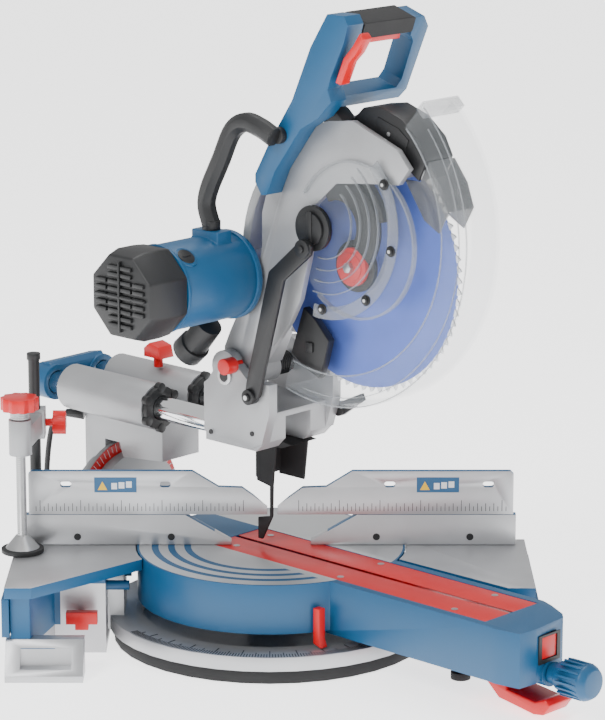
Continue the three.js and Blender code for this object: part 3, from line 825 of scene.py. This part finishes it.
def build_covers():
    """The black cover on the upper guard, the smoked shield in front of it and the handle's root."""
    cover = [
        (158, 647),
        (160, 664),
        (176, 680),
        (204, 684),
        (236, 673),
        (262, 652),
        (274, 630),
        (262, 604),
        (238, 621),
        (214, 634),
        (186, 644),
    ]
    part("top_cover", "head", "black_plastic", [(cover, on_side, -29, 19)], soft=2.2)
    panel = [(196, 644), (200, 672), (232, 662), (248, 650), (238, 626)]
    part("top_cover_panel", "head", "black_plastic", [(panel, on_side, -30.4, -28.5)], soft=0.6)
    screw = (circle(218, 654, 2.6, 20), on_side, -31.2, -30)
    part("top_cover_screw", "head", "plain_steel", [screw])
    shield = [(264, 604), (276, 628), (296, 602), (306, 574), (292, 548), (270, 560), (240, 604)]
    walls = [(shield, on_side, -27, -25), (shield, on_side, 16, 18)]
    part("front_shield", "head", "clear_shield", walls, SMOKED)
    deck = [(276, 628), (296, 602), (306, 574), (303.6, 573), (294, 600.6), (274, 626.6)]
    part("front_shield_deck", "head", "clear_shield", [(deck, on_side, -25, 16)], SMOKED)
    arm_base = [(84, 642), (110, 668), (150, 650), (160, 664), (146, 676), (106, 690), (74, 650)]
    part("handle_root", "head", "black_plastic", [(arm_base, on_side, -44.6, -20)], soft=1.5)


def build_carry_fittings():
    """The carry handle's two ends, and the dark panel inside the guard."""
    foot = (circle(-14, -86, 11, 24), on_table, 519.4, 531)
    part("carry_handle_foot", "head", "black_plastic", [foot], soft=1.0)
    joint_boss = (circle(87, 643, 10, 24), on_side, -80, -71.6)
    part("carry_handle_boss", "head", "black_plastic", [joint_boss], soft=1.0)
    panel = [(80, 430), (100, 416), (121, 395), (113, 366), (106, 346), (82, 356), (60, 371)]
    part("chute_panel", "head", "black_plastic", [(panel, on_side, -27, -15)], soft=1.6)
    boss = [(block(86, 97, 377, 389), on_side, -30, -26)]
    part("chute_panel_boss", "head", "black_plastic", boss, soft=1.0)


def build_kerf():
    """What is seen through the kerf: a dark strip, painted shade for the dark hollow under the inserts."""
    strip = [(block(-56, 382, -3.4, 3.4), on_table, 101, 101.6)]
    part("kerf_shadow_strip", "turntable", "soft_rubber", strip)


def build_guard_edges():
    """The lower guard's moulded edge lines and its upper lip."""
    at = (guard_s, guard_z)
    outer_line = (band(217.4, 215.4, at, -107, 46, 60), on_side, -32.6, -31.8)
    inner_line = (band(180, 178, at, -107, 46, 60), on_side, -32.8, -31.8)
    part("guard_edge_lines", "lower_guard", "clear_shield", [outer_line, inner_line], CLEAR_RIB)
    steps = [(band(206, 204.6, at, -100, 40, 60), on_side, -33, -31.8)]
    part("guard_step_line", "lower_guard", "clear_shield", steps, CLEAR_RIB)
    lip = [(band(222, 208, at, 43.4, 47.4, 4), on_side, -34.5, 26.5)]
    part("guard_lip", "lower_guard", "clear_shield", lip, CLEAR_RIB, 0.8)


def build_motor():
    """The end cap with its louvred face, and the fittings on the blue body."""
    bm = bmesh.new()
    rings = []
    for r, n in ((51.5, -172.6), (53, -190), (53, -214), (48, -231)):
        corners = circle(motor_s, motor_z, r / math.cos(math.pi / 8), 8, math.pi / 8)
        rings.append([bm.verts.new(on_side(s, z, n)) for s, z in corners])
    for a, b in zip(rings, rings[1:]):
        for i in range(8):
            k = (i + 1) % 8
            bm.faces.new((a[i], a[k], b[k], b[i]))
    bm.faces.new(rings[0])
    bm.faces.new(rings[-1])
    bmesh.ops.recalc_face_normals(bm, faces=bm.faces)
    softened(bm, 2.4, 3)
    cap = add_piece("motor_cap", finish_mesh("motor_cap", bm), "head", "black_plastic")
    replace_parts(cap, "motor_end_cap")
    louvres = []
    for column, half in ((-31, 22), (-10.5, 40), (10.5, 40), (31, 22)):
        s = motor_s + column
        for row in range(-4, 5):
            z = motor_z + row * 8.6
            if abs(z - motor_z) < half:
                slat = block(s - 8.6, s + 8.6, z - 2.4, z + 2.4)
                louvres.append((slat, on_side, -234.6, -230.4))
    part("motor_louvres", "head", "black_plastic", louvres, soft=0.7)
    upright = block(motor_s - 1.4, motor_s + 1.4, motor_z - 42, motor_z + 42)
    level = block(motor_s - 42, motor_s + 42, motor_z - 1.4, motor_z + 1.4)
    bars = [(upright, on_side, -235.4, -230.4), (level, on_side, -235.4, -230.4)]
    part("motor_grille_bars", "head", "black_plastic", bars, soft=0.5)
    fittings = [
        (52, -156, 11, "brush_cap", "black_plastic"),
        (67.5, -204, 8, "speed_wheel", "red_plastic"),
        (-22, -196, 5, "cap_screw_low", "plain_steel"),
        (22, -196, 5, "cap_screw_mid", "plain_steel"),
    ]
    for turn, n, r, name, slot in fittings:
        a = math.radians(turn)
        out = ALONG * math.cos(a) + UP * math.sin(a)
        foot = saw(motor_s, n, motor_z) + out * 50 * MM
        third = out.cross(ACROSS)

        def on_skin(x, y, depth, foot=foot, out=out, third=third):
            return foot + (ACROSS * x + third * y + out * depth) * MM

        pieces = [(circle(0, 0, r, 30), on_skin, -2, 4)]
        if name == "brush_cap":
            driver_slot = (block(-6.5, 6.5, -1.2, 1.2), on_skin, 2, 4.2)
            pieces = [(circle(0, 0, r, 30), on_skin, -2, 3.2), driver_slot]
        part(name, "head", slot, pieces, soft=0.8)
        if name == "brush_cap":
            rim = (circle(0, 0, r + 3.4, 34), on_skin, -4, 2.2)
            part("brush_ring", "head", "blue_plastic", [rim], soft=0.8)
    seam = [(circle(motor_s, motor_z, 53.4, 56), on_side, -172.4, -168)]
    part("motor_seam", "head", "blue_plastic", seam, soft=0.8)
    collar = [(circle(motor_s, motor_z, 54.2, 56), on_side, -58, -50)]
    part("motor_collar", "head", "blue_plastic", collar, soft=1.2)
    ribs = []
    for turn in range(100, 260, 16):
        a = math.radians(turn)
        s, z = motor_s + 52.6 * math.cos(a), motor_z + 52.6 * math.sin(a)
        ribs.append((circle(s, z, 2.4, 10), on_side, -82, -56))
    part("motor_vent_ribs", "head", "black_plastic", ribs)


def build_link_fittings():
    """The link's two pivot bolts."""
    s, z = chop_s + 49, chop_z - 16
    low = [(circle(s, z, 9.5, 28), on_side, -76, -65), (circle(s, z, 5, 24), on_side, -79, -75)]
    part("link_pivot", "guard_link", "black_plastic", low, soft=0.7)
    face = (circle(s, z, 3, 20), on_side, -79.6, -78.8)
    part("link_pivot_face", "guard_link", "plain_steel", [face])
    top = [(circle(122, 513, 11, 28), on_side, -75, -65), (circle(122, 513, 4.5, 24), on_side, -78, -74)]
    part("link_top_pivot", "guard_link", "black_plastic", top, soft=0.7)


def build_carriage_fittings():
    """Screws, the pivot's bore and the scalloped seals on the rails."""
    for k, (s, z) in enumerate([(30, 272), (-40, 262)]):
        screw = (circle(s, z, 3, 20), on_side, -64.4, -62.6)
        part(f"carriage_screw_{k}", "carriage", "black_plastic", [screw])
    bore = (circle(chop_s, chop_z, 11, 30), on_side, -66, -62.6)
    part("chop_bore", "carriage", "plain_steel", [bore], soft=0.6)
    bore_cap = (circle(chop_s, chop_z, 6.4, 26), on_side, -66.8, -65.6)
    part("chop_bore_cap", "carriage", "black_plastic", [bore_cap])
    for name, n in (("near", -40), ("far", 40)):
        lobes = []
        for i in range(6):
            a = math.radians(30 + 60 * i)
            y, z = n + 26 * math.cos(a), 268 + 26 * math.sin(a)

            def facing(p, q, depth):
                return saw(depth, p, q)

            lobes.append((circle(y, z, 6, 18), facing, -157.5, -149))
        part(f"seal_lobes_{name}", "bevel_arm", "black_plastic", lobes, soft=0.6)


def build_bevel_scale():
    """The red scale behind the table, with its white ticks."""
    arc_centre = (0, TABLE_Z / MM)

    def on_back(n, z, s):
        return saw(s, n, z)

    red = [(band(89, 74, arc_centre, 22, 158), on_back, -256.05, -255.2)]
    part("bevel_scale", "turntable", "red_plastic", red)
    ticks = []
    high, half_width = 88, 0.35
    for i in range(27):
        a = math.radians(28 + 4.77 * i)
        c, q = math.cos(a), math.sin(a)
        low = 77 if i % 2 == 0 else 79
        corners = ((low, half_width), (high, half_width), (high, -half_width), (low, -half_width))
        outline = [(r * c - w * q, TABLE_Z / MM + r * q + w * c) for r, w in corners]
        ticks.append((outline, on_back, -255.3, -254.9))
    part("bevel_scale_ticks", "turntable", "red_plastic", ticks, LABEL_WHITE)


def build_knurls():
    """The ribs round the mitre lock's knob."""
    pieces = []
    for i in range(18):
        a = 2 * math.pi * i / 18

        def round_knob(s, y, depth, a=a):
            r = 19.5 + y
            n = r * math.cos(a) + depth * math.sin(a)
            return saw(s, n, 54 + r * math.sin(a) - depth * math.cos(a))

        pieces.append((block(468, 498, 0, 2.9), round_knob, -1.3, 1.3))
    part("mitre_knob_ribs", "mitre_knob", "blue_plastic", pieces, soft=0.4)


def build_nose():
    """The dark surround of the release button on the end of the arm."""
    def on_nose(n, z, s):
        return saw(s, n, z)

    surround = [
        (block(-24, 14, 99.4, 102), on_nose, 445.2, 447),
        (block(-24, 14, 68, 72.6), on_nose, 445.2, 447),
        (block(-24, -18.4, 72, 100), on_nose, 445.2, 447),
        (block(8.4, 14, 72, 100), on_nose, 445.2, 447),
    ]
    part("nose_surround", "turntable", "black_plastic", surround)


build_blade()
build_return_spring()
build_fence_scales()
build_ring_scale()
build_insert_screws()
build_arbor()
build_window()
build_covers()
build_guard_edges()
build_carry_fittings()
build_kerf()
build_motor()
build_link_fittings()
build_carriage_fittings()
build_bevel_scale()
build_knurls()
build_nose()


def lay_floor():
    bpy.ops.mesh.primitive_plane_add(size=14, location=(0, 0, -0.0006))
    floor = bpy.context.object
    floor.name = "studio_floor"
    floor.data.materials.append(floor_paper())


lay_floor()
